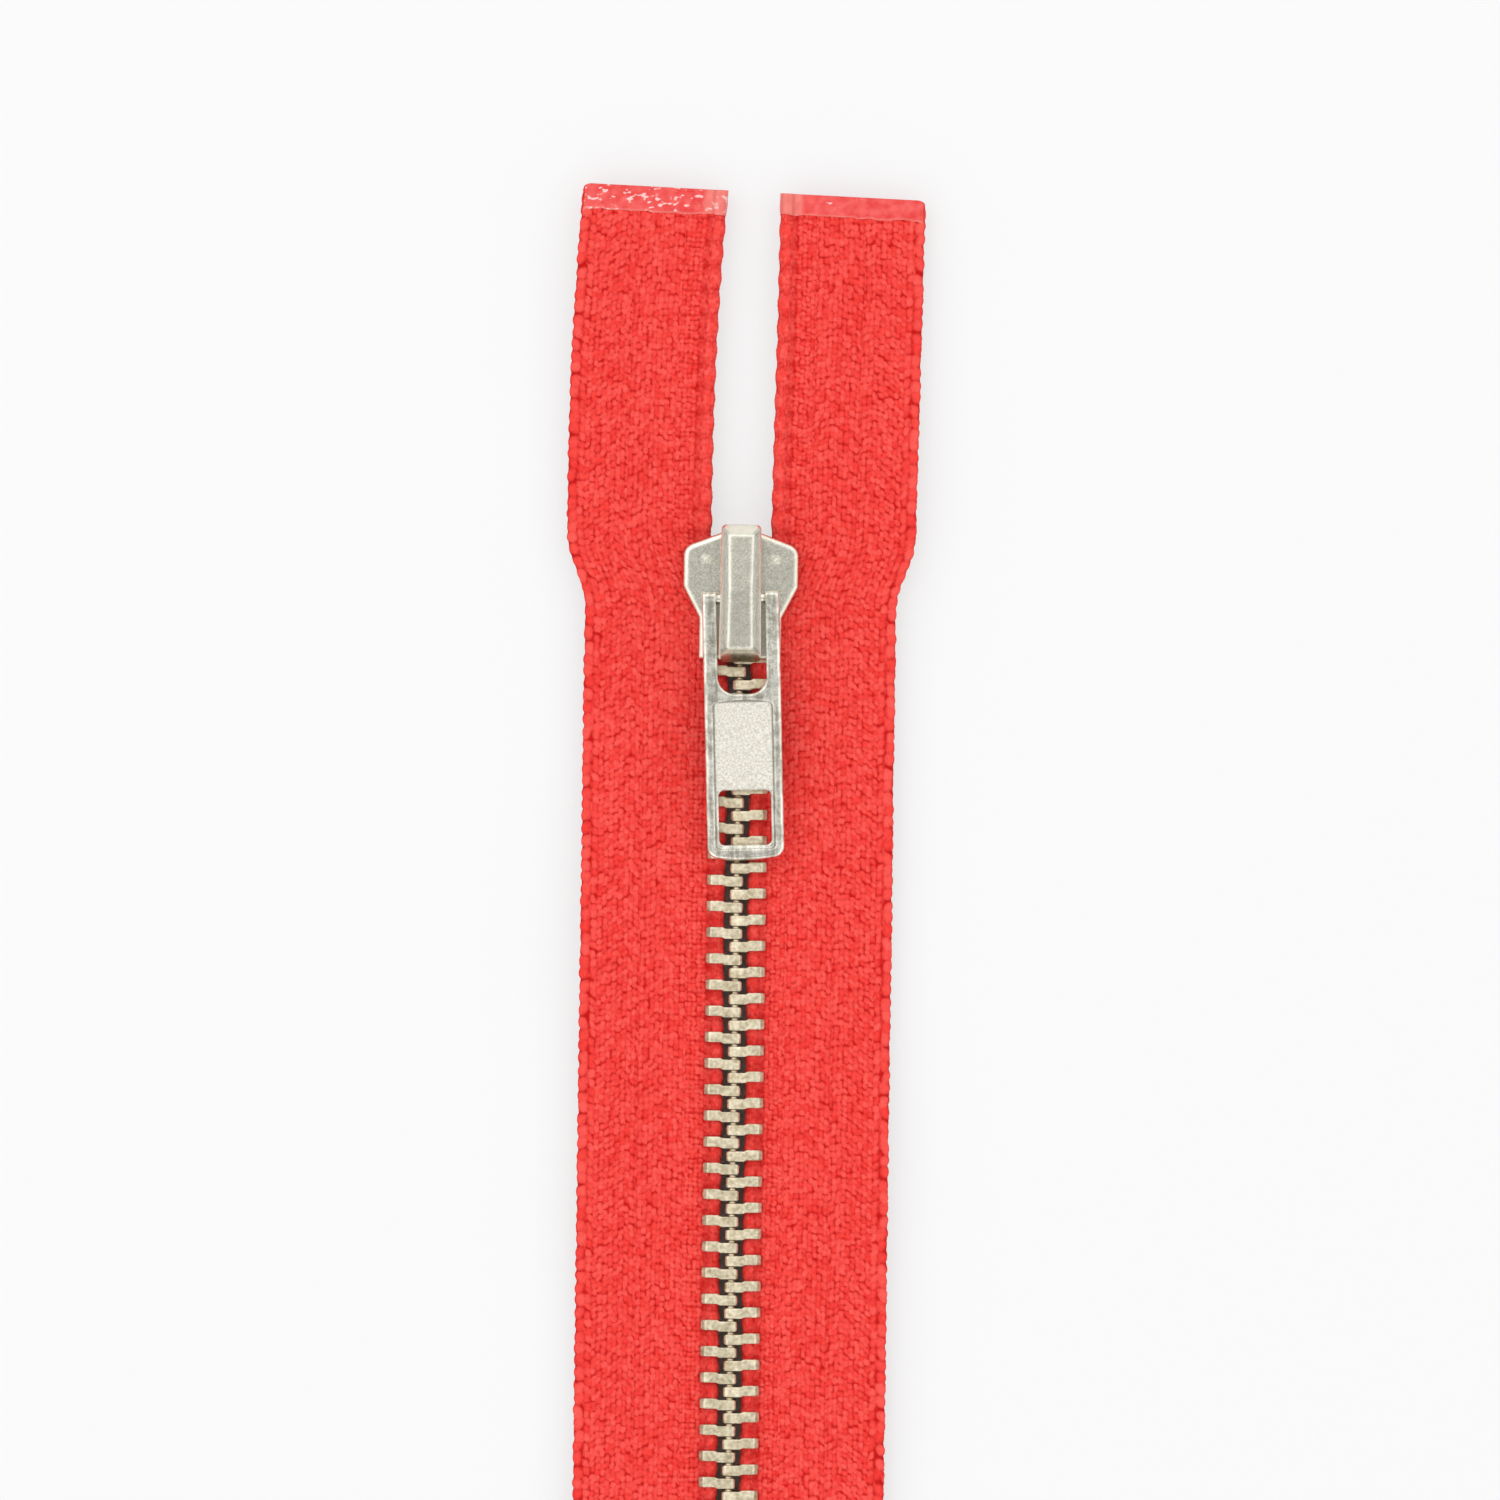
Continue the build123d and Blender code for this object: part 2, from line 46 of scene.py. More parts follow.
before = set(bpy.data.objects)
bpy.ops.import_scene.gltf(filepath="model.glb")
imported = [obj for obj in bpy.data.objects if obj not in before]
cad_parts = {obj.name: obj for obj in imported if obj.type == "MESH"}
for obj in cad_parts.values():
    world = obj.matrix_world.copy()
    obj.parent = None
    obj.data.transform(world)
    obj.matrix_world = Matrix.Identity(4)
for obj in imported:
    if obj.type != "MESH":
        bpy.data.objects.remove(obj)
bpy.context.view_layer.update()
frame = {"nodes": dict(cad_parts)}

# ---- Sizes shared with the CAD ----
closed_edge = 1.02  # from the middle line to each tape's inner edge when closed
tape_width = 14.1
tape_half = 0.28
bead_radius = 0.75
tape_bottom = 0.9
tape_cut, cut_slant = 182.4, math.radians(2.2)
slider_y = 137.0
bend_start, bend_end, bend_reach = slider_y + 4.5, slider_y + 12.5, 3.6
mouth_spread = 2.86 - closed_edge  # how far the slider's mouth moves each tape outwards
free_drift = {-1: (0.05, -0.3, -1.5), 1: (0.12, 0.5, 0.4)}  # further shifts of the free ends' three points
overrun = 186.0
bar_place = Vector((0, slider_y + 5.9, 3.55))
tab_tilt, tab_skew = math.radians(2.6), math.radians(2.0)

# ---- Weave and films ----
repeat = 2.35  # the weave's repeat along the tape
grid_step = 0.12
groove_at = 12.45  # the groove beside the bead, as a distance from the outer edge
pressed_share = 0.16  # how much thinner the cloth is under the films
film_height = {-1: 2.45, 1: 2.05}
end_film_top = 13.5
end_film_reach = 12.17  # how far in it comes from the outer edge
box_room_out, box_room_height = 3.95, 8.65  # the end film's notch for the box


def bezier(a, b, c, d, t):
    return a * (1 - t) ** 3 + 3 * b * (1 - t) ** 2 * t + 3 * c * (1 - t) * t**2 + d * t**3


def spread(side, y):
    """How far outside its closed place a tape runs at the heights y."""
    t = np.linspace(0, 1, 60)
    bend_y = bezier(bend_start, bend_start + bend_reach, bend_end - bend_reach, bend_end, t)
    bend_x = bezier(0, 0, mouth_spread, mouth_spread, t)
    free_y = bend_end + (overrun - bend_end) * t
    free_x = bezier(mouth_spread, *(mouth_spread + drift for drift in free_drift[side]), t)
    return np.interp(y, np.concatenate((bend_y, free_y)), np.concatenate((bend_x, free_x)), left=0)


# ---- Repeatable noise ----


def fraction(value):
    return value - np.floor(value)


def hashed(a, b, seed):
    """A number from 0 to 1 for each pair of whole numbers."""
    return fraction(np.sin(a * 12.9898 + b * 78.233 + seed * 37.719) * 43758.5453)


def wander(x, y, size, seed):
    """Smooth noise from -1 to 1 with bumps about `size` wide."""
    left, low = np.floor(x / size), np.floor(y / size)
    u, v = x / size - left, y / size - low
    u, v = u * u * (3 - 2 * u), v * v * (3 - 2 * v)
    below = hashed(left, low, seed) * (1 - u) + hashed(left + 1, low, seed) * u
    above = hashed(left, low + 1, seed) * (1 - u) + hashed(left + 1, low + 1, seed) * u
    return 2 * (below * (1 - v) + above * v) - 1


# ---- Weave relief ----


def stitches(across, along, pitch, length, step, lean, seed):
    """Plump floats in columns, each column `step` of a float behind the last. Every float leans, and is
    moved, widened and lengthened a little by its own number. Returns their height from 0 to 1, and each
    one's shade."""
    column_slip, slip, sway, own_tilt = 0.6, 0.36, 0.34, 0.7  # how far columns and floats may stray
    least_size, more_size = 0.50, 0.16
    height, shade = np.zeros_like(along), np.full_like(along, 0.5)
    near_column = np.floor(across / pitch)
    for column in (near_column - 1, near_column, near_column + 1):
        run = along / length + column * step + column_slip * hashed(column, 0 * column, seed + 0.5)
        near_row = np.floor(run)
        for row in (near_row - 1, near_row, near_row + 1):
            # Each factor below turns the float's own number into another one.
            own = hashed(column, row, seed)
            v = run - row - 0.5 + slip * (fraction(own * 7.3) - 0.5)
            own_lean = lean + own_tilt * (fraction(own * 41.3) - 0.5)
            u = across / pitch - column - 0.5 - own_lean * v + sway * (fraction(own * 13.7) - 0.5)
            wide = least_size + more_size * fraction(own * 29.1)
            tall = least_size + more_size * fraction(own * 53.9)
            dome = 1 - np.abs(u / wide) ** 2.2 - np.abs(v / tall) ** 2.6
            dome = np.clip(dome, 0, 1) ** 0.65 * (0.80 + 0.20 * fraction(own * 97.3))
            higher = dome > height
            height, shade = np.where(higher, dome, height), np.where(higher, own, shade)
    return height, shade


# The flat weave's bands, by distance from the tape's outer edge:
# start, end, column pitch, float length, step between columns, lean, and depth of relief.
BANDS = (
    (0.00, 0.95, 0.95, repeat / 2, 0.00, 0.10, 0.17),
    (0.95, 1.60, 0.65, repeat / 3, 0.50, -0.25, 0.14),
    (1.60, 4.60, 0.50, repeat / 4, 0.34, 0.30, 0.14),
    (4.60, 5.80, 0.48, repeat / 3.5, 0.42, -0.20, 0.14),
    (5.80, 8.20, 0.50, repeat / 3.5, 0.38, 0.20, 0.15),
    (8.20, 10.4, 0.50, repeat / 4, 0.60, -0.15, 0.14),
    (10.4, 12.6, 0.46, repeat / 5, 0.50, 0.00, 0.13),
)


def flat_relief(side, face, edge, y):
    """The weave's height under the tape's surface, its crowns from 0 to 1, and each stitch's shade."""
    seed = 11 + 5 * side + 2 * face
    bar_half, bar_least, yarn_cut, gap_width = 0.20, 0.5, 0.16, 0.11
    pit_reach, groove_width = 0.18, 0.19
    across = edge + 0.06 * wander(edge, y, 2.6, seed) + 0.05 * wander(edge, y, 0.9, seed + 1)
    along = y + 0.14 * wander(edge, y, 3.4, seed + 2) + 0.08 * wander(edge, y, 1.1, seed + 3)
    across = np.clip(across, 0.001, groove_at)
    crown, shade, depth = np.zeros_like(y), np.zeros_like(y), np.zeros_like(y)
    for number, (start, end, pitch, length, step, lean, deep) in enumerate(BANDS):
        inside = (across >= start) & (across < end)
        parts = stitches(across[inside] - start, along[inside], pitch, length, step, lean, seed + number)
        crown[inside], shade[inside] = parts
        depth[inside] = deep
    # A deeper bar once in each repeat of the fine weave, then the single yarns in every stitch.
    bar = np.abs(fraction(along / repeat) - 0.5) * repeat
    fine = across > BANDS[-1][0]
    crown = np.where(fine, crown * np.clip(bar / bar_half, bar_least, 1), crown)
    crown = crown * (1 - yarn_cut * np.clip(wander(edge, 0.6 * y, 0.22, seed + 8), 0, 1))
    # Broken dark lines where some of the bands meet.
    for line, cut in ((0.97, 0.6), (5.80, 0.6), (8.20, 0.35)):
        broken = np.clip(0.5 + wander(edge, y, 0.8, seed + 9), 0, 1)
        crown = crown * (1 - cut * np.exp(-(((across - line) / gap_width) ** 2)) * broken)
    # The groove beside the bead, with a pit at each repeat.
    pit = 0.50 + 0.50 * np.exp(-(((fraction(along / repeat) - 0.5) / pit_reach) ** 2))
    crown = crown * (1 - pit * np.exp(-(((edge - groove_at) / groove_width) ** 2)))
    return (crown - 1) * depth, crown, shade


def bead_relief(side, turn, y):
    """The bead's relief: puffs between the picks, small stitches wound round it, and pits by the groove."""
    wrap_pitch, wrap_length, wrap_step, wrap_lean, wrap_start = 0.40, 0.47, 0.5, 0.3, 20
    pit_turn, pit_width, pit_height, pit_depth = 2.35, 0.25, 0.30, 0.9
    between_teeth = 0.75  # the bead looks darker where the teeth hold it
    puff = np.cos(2 * np.pi * y / repeat)
    wound = y + 0.25 * turn + 0.10 * wander(turn * 2, y, 0.9, 40 + side)
    around = turn * bead_radius + wrap_start
    crown, shade = stitches(around, wound, wrap_pitch, wrap_length, wrap_step, wrap_lean, 50 + side)
    from_pit = (fraction(y / repeat + 0.5) - 0.5) * repeat
    pit = np.exp(-(((turn - pit_turn) / pit_width) ** 2) - ((from_pit / pit_height) ** 2))
    crown = np.clip(0.36 + 0.24 * puff + 0.55 * crown, 0, 1) * (1 - pit_depth * pit)
    # Painted shade: the bead is coloured darker, and its relief made lower, where the teeth hold it.
    crown = crown * np.where(y < bend_start, between_teeth, 1)
    return 0.04 * puff + 0.12 * (crown - 1), crown, shade


# ---- Meshes ----


def new_mesh(name, points, quads, smooth=True):
    """A mesh object from points in millimetres and rows of four corners."""
    mesh = bpy.data.meshes.new(name)
    mesh.vertices.add(len(points))
    mesh.vertices.foreach_set("co", (np.asarray(points) * MM).astype(np.float32).ravel())
    mesh.loops.add(quads.size)
    mesh.loops.foreach_set("vertex_index", quads.astype(np.int32).ravel())
    mesh.polygons.add(len(quads))
    mesh.polygons.foreach_set("loop_start", np.arange(0, quads.size, 4, dtype=np.int32))
    mesh.polygons.foreach_set("use_smooth", np.full(len(quads), smooth))
    mesh.update(calc_edges=True)
    made = bpy.data.objects.new(name, mesh)
    bpy.context.scene.collection.objects.link(made)
    return made


def point_value(piece, name, values):
    """Stores one number for each point of a piece, for its material to read."""
    layer = piece.data.attributes.new(name, "FLOAT", "POINT")
    layer.data.foreach_set("value", np.asarray(values).astype(np.float32).ravel())


def tube_quads(rows, around, turned):
    """The sides and both flattened ends of a tube of `rows` rings with `around` points each."""
    ring, step = np.meshgrid(np.arange(rows - 1) * around, np.arange(around), indexing="ij")
    after = (step + 1) % around
    sides = np.stack((ring + step, ring + after, ring + around + after, ring + around + step), -1)
    half = np.arange(around // 2)
    low_end = np.stack((half, (-half) % around, (-half - 1) % around, half + 1), -1)
    high_end = low_end[:, ::-1] + (rows - 1) * around
    quads = np.concatenate((sides.reshape(-1, 4), low_end, high_end))
    return quads[:, ::-1] if turned else quads


def tape_section():
    """The closed loop round a tape: its front from the outer edge to the bead, then its back again.
    Returns six rows: the distance from the outer edge, the height, the outward normal's two parts, the turn
    round the bead (-1 where the tape is flat), and the face."""
    fine_start, fine_step, edge_round, bead_points = BANDS[-1][0], 0.09, 0.3, 18
    coarse, fine = np.arange(0.0, fine_start, grid_step), np.arange(fine_start, groove_at, fine_step)
    flat = np.concatenate((coarse, fine))
    flatness = np.clip(flat / edge_round, 0, 1)
    normal_out = (1 - flatness) ** 2
    centre = tape_width - bead_radius
    around = np.linspace(math.pi - math.asin(tape_half / bead_radius), 0, bead_points)
    front = np.stack((
        np.concatenate((flat, centre + bead_radius * np.cos(around))),
        np.concatenate((tape_half * np.sqrt(1 - (1 - flatness) ** 2), bead_radius * np.sin(around))),
        np.concatenate((-normal_out, np.cos(around))),
        np.concatenate((np.sqrt(1 - normal_out**2), np.sin(around))),
        np.concatenate((np.full(len(flat), -1.0), around)),
        np.ones(len(flat) + len(around)),
    ))
    mirrored = np.array([[1], [-1], [1], [-1], [1], [-1]])
    return np.concatenate((front, front[:, -2:0:-1] * mirrored), axis=1)


def cut_height(side, edge):
    """Where the slanted cut ends each column of the tape, with a small round corner at the outer edge."""
    x = side * (closed_edge + tape_width - edge + spread(side, tape_cut))
    corner = 0.7
    rounding = corner * (1 - np.sqrt(1 - (1 - np.clip(edge / corner, 0, 1)) ** 2))
    return tape_cut - math.tan(cut_slant) * x - rounding


def waves(side, out, y):
    """The cloth's gentle waves. They grow towards the outer edge and die away at the chain."""
    still = 3.0
    reach = np.clip((out - still) / (tape_width - still), 0, 1) ** 1.5
    long_wave = 0.30 * np.sin(2 * np.pi * y / 74 + 1.1 * side)
    short_wave = 0.16 * np.sin(2 * np.pi * y / 31 + 2.3 * side)
    return reach * (long_wave + short_wave)


def tape(side, name):
    """One woven tape, with its bead. Under the films the cloth is pressed thin and nearly smooth."""
    smoothed, film_blend, film_inner = 0.75, 0.25, 2.0
    loop_height, loop_reach = 0.12, 0.35  # the small weft loops along the outer edge
    edge0, z0, normal_edge, normal_z, turn0, face0 = tape_section()
    top = cut_height(side, edge0)
    grow = np.linspace(0, 1, int((tape_cut - tape_bottom) / grid_step))[:, None]
    y = tape_bottom + grow * (top - tape_bottom)
    edge, turn = np.broadcast_to(edge0, y.shape), np.broadcast_to(turn0, y.shape)
    rise, crown, shade = np.zeros_like(y), np.zeros_like(y), np.zeros_like(y)
    for face in (-1, 1):
        flat = (turn0 < 0) & (face0 == face)
        rise[:, flat], crown[:, flat], shade[:, flat] = flat_relief(side, face, edge[:, flat], y[:, flat])
        bead = (turn0 >= 0) & (face0 == face)
        rise[:, bead], crown[:, bead], shade[:, bead] = bead_relief(side, turn[:, bead], y[:, bead])
    under_top_film = np.clip((y - (top - film_height[side])) / film_blend, 0, 1)
    under_end_film = (y < end_film_top) * (edge < tape_width - film_inner)
    pressed = np.maximum(under_top_film, under_end_film)
    rise = rise * (1 - smoothed * pressed)
    loops = loop_height * np.abs(np.sin(2 * np.pi * y / repeat)) ** 0.6 * np.exp(-((edge / loop_reach) ** 2))
    out = tape_width - edge - rise * normal_edge + loops
    x = side * (closed_edge + out + spread(side, y))
    z = z0 * (1 - pressed_share * pressed * (turn < 0)) + rise * normal_z + waves(side, out, y)
    made = new_mesh(name, np.stack((x, y, z), -1).reshape(-1, 3), tube_quads(*y.shape, side < 0))
    point_value(made, "crown", crown)
    point_value(made, "shade", shade)
    point_value(made, "along", y)
    point_value(made, "edge", edge)
    return made


def cord(side, name):
    """The three-ply cord inside the bead."""
    cord_radius, around, lay, recess, ring_step = 0.46, 24, 3.0, 0.12, 0.3
    top = float(cut_height(side, np.array([tape_width]))[0]) - recess
    y = np.arange(tape_bottom, top, ring_step)[:, None]
    angle = np.linspace(0, 2 * np.pi, around, endpoint=False)[None, :]
    radius = cord_radius * (0.86 + 0.14 * np.abs(np.cos(1.5 * angle - 3 * np.pi * y / lay)))
    x = side * (closed_edge + bead_radius + spread(side, y)) + radius * np.cos(angle)
    points = np.stack((x, y + 0 * angle, radius * np.sin(angle)), -1)
    return new_mesh(name, points.reshape(-1, 3), tube_quads(len(y), around, True))


def sheet_quads(rows, columns):
    """A closed sheet: a grid, a second grid over it, and a wall round the rim."""
    size = rows * columns
    row, column = np.meshgrid(np.arange(rows - 1) * columns, np.arange(columns - 1), indexing="ij")
    corner = row + column
    grid = np.stack((corner, corner + 1, corner + columns + 1, corner + columns), -1).reshape(-1, 4)
    rim = np.concatenate((
        np.arange(columns),
        np.arange(1, rows) * columns + columns - 1,
        size - columns + np.arange(columns - 2, -1, -1),
        np.arange(rows - 2, 0, -1) * columns,
    ))
    ahead = np.roll(rim, -1)
    wall = np.stack((rim, rim + size, ahead + size, ahead), -1)
    return np.concatenate((grid, grid[:, ::-1] + size, wall))


def film(side, name, edge, bottom, top, lift):
    """A thin glossy film melted onto both faces of a tape, as two closed sheets."""
    rows, thick, cloth_half = 30, 0.05, (1 - pressed_share) * tape_half
    grow = np.linspace(0, 1, rows)[:, None]
    y = bottom + grow * (top - bottom)
    out = np.broadcast_to(tape_width - edge, y.shape)
    bead_z = np.sqrt(np.clip(bead_radius**2 - (out - bead_radius) ** 2, 0, None))
    ripple = 0.020 * wander(out, y, 0.7, 60 + side) + 0.014 * wander(out, y, 0.35, 70 + side)
    x = side * (closed_edge + out + spread(side, y))
    points, quads = [], []
    for face in (-1, 1):
        for layer in (lift, lift + thick):
            z = face * (np.maximum(cloth_half, bead_z) + ripple + layer) + waves(side, out, y)
            points.append(np.stack((x, y, z), -1).reshape(-1, 3))
        closed = sheet_quads(rows, len(edge)) + len(quads) * 2 * y.size
        quads.append(closed if face * side > 0 else closed[:, ::-1])
    made = new_mesh(name, np.concatenate(points), np.concatenate(quads))
    point_value(made, "out", np.tile(out.ravel(), 4))
    point_value(made, "rise", np.tile((grow + 0 * out).ravel(), 4))
    return made


def top_film(side, name):
    """The melted film at the top cut, with an uneven lower rim."""
    outer, inner, columns, lift = 0.14, tape_width - 0.04, 106, 0.03
    edge = np.linspace(outer, inner, columns)
    top = cut_height(side, edge)
    uneven = 0.10 * wander(edge, 0 * edge, 0.9, 80 + side)
    return film(side, name, edge, top - film_height[side] + uneven, top, lift)


def end_film(side, name):
    """The stiffening film at the bottom, notched to clear the box."""
    outer, columns, lift = 0.02, 70, 0.02
    edge = np.linspace(outer, end_film_reach, columns)
    beside_box = edge > tape_width + closed_edge - box_room_out
    bottom = np.where(beside_box, box_room_height, tape_bottom)
    return film(side, name, edge, bottom, np.full(columns, end_film_top), lift)


def free_copy(node, name):
    """A copy of a CAD node's mesh, as a piece of its own."""
    made = bpy.data.objects.new(name, frame["nodes"][node].data.copy())
    bpy.context.scene.collection.objects.link(made)
    return made


# ---- Materials ----


class Shader:
    """A node material in short form: each method adds one node and returns its output."""

    def __init__(self, name):
        self.material = bpy.data.materials.new(name)
        self.material.use_nodes = True
        self.nodes = self.material.node_tree.nodes
        self.links = self.material.node_tree.links

    def put(self, socket, value):
        if isinstance(value, bpy.types.NodeSocket):
            self.links.new(value, socket)
        else:
            socket.default_value = value

    def add(self, kind, inputs, output=0, **settings):
        """Adds a node. The inputs go to its sockets, and the settings to its own properties."""
        node = self.nodes.new(kind)
        for key, value in settings.items():
            setattr(node, key, value)
        for key, value in inputs.items():
            self.put(node.inputs[key], value)
        return node.outputs[output]

    def math(self, operation, *values):
        return self.add("ShaderNodeMath", dict(enumerate(values)), operation=operation)

    def mix(self, share, first, second):
        """A colour between two others."""
        return self.add("ShaderNodeMix", {0: share, 6: first, 7: second}, output=2, data_type="RGBA")

    def value(self, name):
        """A number that point_value stored on the mesh."""
        return self.add("ShaderNodeAttribute", {}, output=2, attribute_name=name)

    def place(self, scale=(1, 1, 1)):
        """Object coordinates in millimetres, stretched by scale."""
        coordinates = self.add("ShaderNodeTexCoord", {}, output=3)
        return self.add("ShaderNodeMapping", {0: coordinates, 3: tuple(part / MM for part in scale)})

    def split(self, vector):
        """A vector's three parts."""
        node = self.nodes.new("ShaderNodeSeparateXYZ")
        self.put(node.inputs[0], vector)
        return node.outputs

    def noise(self, size, detail=2.0, vector=None):
        """Noise with bumps about `size` wide."""
        inputs = {"Vector": vector or self.place(), "Scale": 1 / size, "Detail": detail}
        return self.add("ShaderNodeTexNoise", inputs)

    def ramp(self, value, *stops):
        """Turns a value into a number through (position, number) stops."""
        node = self.nodes.new("ShaderNodeValToRGB")
        self.put(node.inputs[0], value)
        set_stops(node.color_ramp, stops)
        return node.outputs[0]

    def bump(self, height, strength, depth, over=None):
        inputs = {"Strength": strength, "Distance": depth * MM, "Height": height}
        if over:
            inputs["Normal"] = over
        return self.add("ShaderNodeBump", inputs)

    def soft_edges(self, radius):
        """Normals that round every sharp edge by radius."""
        return self.add("ShaderNodeBevel", {"Radius": radius * MM}, samples=6)

    def finish(self, **inputs):
        for name, value in inputs.items():
            self.put(self.nodes["Principled BSDF"].inputs[name.replace("_", " ")], value)
        return self.material


def set_stops(color_ramp, stops):
    """Sets a ramp's stops from pairs of position and grey level."""
    while len(color_ramp.elements) < len(stops):
        color_ramp.elements.new(0.5)
    for element, (position, level) in zip(color_ramp.elements, stops):
        element.position = position
        element.color = (level, level, level, 1)


def cloth_material():
    """Dyed polyester, with painted shade in the gaps and painted pale highlights on some crowns, each stitch
    its own shade, with fine fibres along the stitches.
    """
    shaded_gap_red, crown_red, pale_highlight_red = (0.54, 0.002, 0.002, 1), (0.95, 0.050, 0.040, 1), (1.0, 0.125, 0.103, 1)
    faded_red, bounce_pink = (0.70, 0.020, 0.018, 1), (0.78, 0.66, 0.64, 1)
    s = Shader("tape_cloth")
    crown, shade = s.value("crown"), s.value("shade")
    weave_place = s.add("ShaderNodeCombineXYZ", {0: s.value("edge"), 1: s.value("along")})
    fibre_place = s.add("ShaderNodeMapping", {0: weave_place, 3: (5.0, 3.0, 1.0)})
    fibres = s.noise(1.0, 3.0, fibre_place)
    faded = s.noise(11.0, 2.0, weave_place)
    # Painted shade and highlights: the colour runs from dark red in the gaps to bright red on the crowns by
    # the weave's height, and some crowns get a paler painted highlight by each stitch's own number.
    lit = s.ramp(crown, (0.0, 0.0), (0.45, 0.55), (0.95, 1.0))
    base = s.mix(lit, shaded_gap_red, crown_red)
    base = s.mix(s.math("MULTIPLY", s.math("MULTIPLY", shade, 0.85), lit), base, pale_highlight_red)
    base = s.mix(s.math("MULTIPLY", faded, 0.12), base, faded_red)
    streaks = s.math("MULTIPLY_ADD", fibres, 0.80, 0.60)
    base = s.add("ShaderNodeVectorMath", {0: base, "Scale": streaks}, operation="SCALE")
    # Light that the cloth throws on the floor is kept pale, as it is under big lamps.
    bounced = s.add("ShaderNodeLightPath", {}, output="Is Diffuse Ray")
    base = s.mix(s.math("MULTIPLY", bounced, 0.7), base, bounce_pink)
    return s.finish(
        Base_Color=base,
        Roughness=s.math("MULTIPLY_ADD", fibres, 0.2, 0.60),
        Specular_IOR_Level=0.15,
        Normal=s.bump(fibres, 0.5, 0.05),
    )


def cord_material():
    """Red yarn with fibres along the cord."""
    deep_red, bright_red = (0.55, 0.02, 0.02, 1), (0.85, 0.08, 0.07, 1)
    s = Shader("cord_yarn")
    fibres = s.noise(1.0, 3.0, s.place((6, 2, 6)))
    base = s.mix(fibres, deep_red, bright_red)
    return s.finish(Base_Color=base, Roughness=0.8, Normal=s.bump(fibres, 0.4, 0.04))


def film_material(name, blisters):
    """Clear film melted into the cloth: a milky patch over the bead, a pale lower rim, and blisters.
    `blisters` sets how much of the film they take up."""
    deep_red, bright_red = (0.80, 0.035, 0.032, 1), (0.91, 0.105, 0.093, 1)
    milk, blister_white = (0.93, 0.34, 0.28, 1), (0.97, 0.66, 0.63, 1)
    s = Shader(name)
    cloudy = s.noise(0.9, 3.0)
    spots = s.noise(1.0, 1.5, s.place((1.4, 2.5, 1.0)))
    base = s.mix(s.ramp(cloudy, (0.35, 0.0), (0.65, 1.0)), deep_red, bright_red)
    out, rise = s.value("out"), s.value("rise")
    ragged = s.math("MULTIPLY_ADD", cloudy, 0.9, out)
    milky = s.ramp(s.math("DIVIDE", ragged, 4.0), (0.0, 0.45), (0.62, 0.40), (0.72, 0.0))
    rim = s.ramp(rise, (0.0, 0.40), (0.05, 0.25), (0.12, 0.0))
    base = s.mix(s.math("MAXIMUM", milky, rim), base, milk)
    fleck = s.ramp(spots, (0.0, 0.0), (1 - blisters, 0.0), (1.08 - blisters, 0.85))
    base = s.mix(fleck, base, blister_white)
    return s.finish(Base_Color=base, Roughness=0.3, Coat_Weight=0.25, Normal=s.bump(spots, 0.5, 0.1))


def nickel(name, bright, deep, roughness, grain, pit, round_edge):
    """Plated metal: sandy pits `grain` wide and `pit` deep, cloudy patches, worn round edges, and painted
    shade in the corners.
    """
    painted_shade = (0.10, 0.075, 0.045, 1)
    s = Shader(name)
    sand = s.noise(grain, 1.0)
    clouds = s.noise(0.8, 2.0)
    patches = s.math("MULTIPLY_ADD", clouds, 0.5, s.math("MULTIPLY", sand, 0.5))
    mottling = s.ramp(patches, (0.32, 0.0), (0.68, 1.0))
    # Painted shade: a dark brown colour darkens the corners that little light reaches, by ambient occlusion.
    open_sky = s.add("ShaderNodeAmbientOcclusion", {"Distance": 1.6 * MM}, output=1, samples=4)
    unshaded = s.ramp(open_sky, (0.10, 0.20), (0.42, 1.0))
    plate = s.mix(mottling, deep, bright)
    return s.finish(
        Base_Color=s.mix(unshaded, painted_shade, plate),
        Metallic=1.0,
        Roughness=s.math("MULTIPLY_ADD", sand, 0.16, roughness - 0.08),
        Normal=s.bump(sand, 1.0, pit, s.soft_edges(round_edge)),
    )


def tab_axes():
    """The tab's own place at rest, as a rotation: x along the bar, z out of the tab's face."""
    across = Vector((math.cos(tab_skew), math.sin(tab_skew), 0))
    normal = Vector((
        math.sin(tab_skew) * math.sin(tab_tilt),
        -math.cos(tab_skew) * math.sin(tab_tilt),
        math.cos(tab_tilt),
    ))
    return Matrix((across, normal.cross(across), normal)).transposed()


